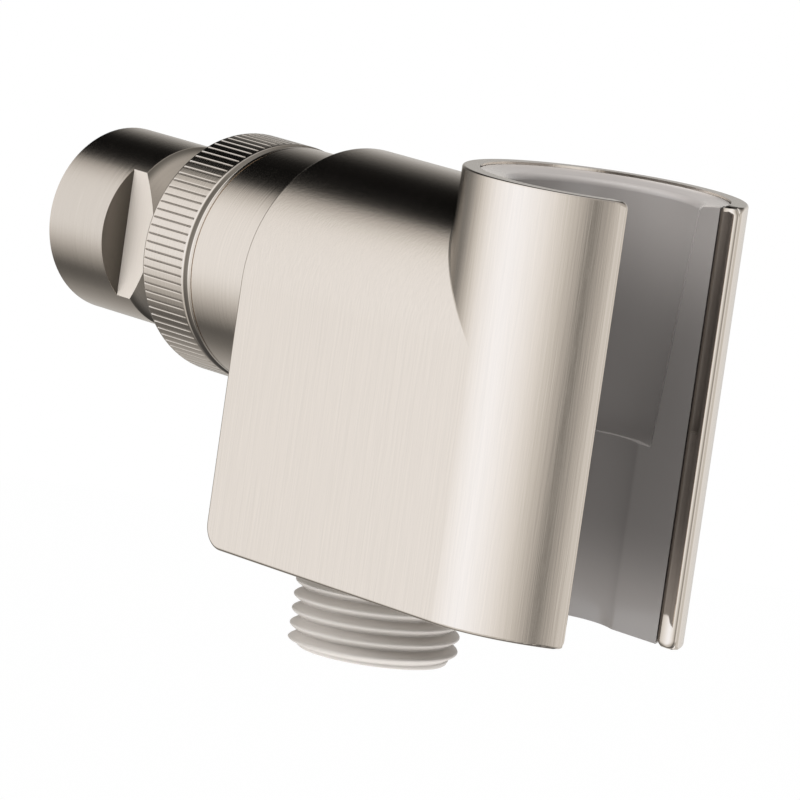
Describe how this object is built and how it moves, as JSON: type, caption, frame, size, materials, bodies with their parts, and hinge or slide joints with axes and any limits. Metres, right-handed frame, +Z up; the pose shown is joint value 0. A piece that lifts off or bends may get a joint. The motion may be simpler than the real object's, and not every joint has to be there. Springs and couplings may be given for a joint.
{
  "type": "hand shower holder",
  "caption": "Hand shower holder for a shower arm: ball joint with a knurled lock ring, D-shaped body, open C-shaped clamp with a cone seat liner, and a threaded hose outlet below.",
  "frame": {"origin": "centre of the connector's inlet face, on the shower arm's axis", "axes": "+X leads away from the wall to the clamp's opening, +Y to the side, +Z up"},
  "size_m": [0.1063, 0.0344, 0.064],
  "materials": {
    "brushed_nickel": "brushed nickel, warm satin; polished jaw ends",
    "grey_liner": "glossy moulded plastic",
    "grey_outlet": "satin moulded plastic",
    "bearing_plastic": "smooth moulded bearing plastic",
    "valve_plastic": "smooth moulded plastic",
    "black_rubber": "smooth rubber",
    "steel": "plain stainless steel"
  },
  "bodies": {
    "connector": {"arm_connector": "brushed_nickel", "inlet_washer": "black_rubber", "inlet_screen": "steel", "flow_regulator": "bearing_plastic", "regulator_ring": "black_rubber"},
    "slip_band": {"slip_ring": "bearing_plastic"},
    "seat": {"ball_seat": "bearing_plastic", "ball_seal": "black_rubber", "thrust_ring": "bearing_plastic"},
    "holder": {"ball_housing": "brushed_nickel", "housing_seal": "black_rubber", "holder_body": "brushed_nickel", "clamp_liner": "grey_liner", "waterway_insert": "grey_outlet", "outlet_nipple": "grey_outlet", "lower_screw": "steel", "upper_screw": "steel", "check_valve_body": "valve_plastic", "check_valve_ring": "black_rubber", "check_valve_spring": "steel"},
    "ring": {"lock_ring": "brushed_nickel"},
    "poppet": {"check_valve_poppet": "valve_plastic", "check_valve_seal": "black_rubber"}
  },
  "joints": [
    {"name": "ball_pitch", "type": "hinge", "parent": "connector", "child": "slip_band", "pos_m": [0.0315, 0, 0], "axis": [0, 1, 0], "range_deg": [-10, 10]},
    {"name": "ball_yaw", "type": "hinge", "parent": "slip_band", "child": "seat", "pos_m": [0.0315, 0, 0], "axis": [0, 0, 1], "range_deg": [-10, 10]},
    {"name": "holder_spin", "type": "hinge", "parent": "seat", "child": "holder", "pos_m": [0.0315, 0, 0], "axis": [1, 0, 0], "continuous": true},
    {"name": "ring_turn", "type": "hinge", "parent": "holder", "child": "ring", "pos_m": [0.029, 0, 0], "axis": [1, 0, 0], "range_deg": [-90, 0]},
    {"name": "valve_slide", "type": "slide", "parent": "holder", "child": "poppet", "axis": [0, 0, -1], "range_m": [0, 0.003], "stiffness_N_per_m": 150, "springref_m": -0.003, "deforming": ["check_valve_spring"]}
  ]
}
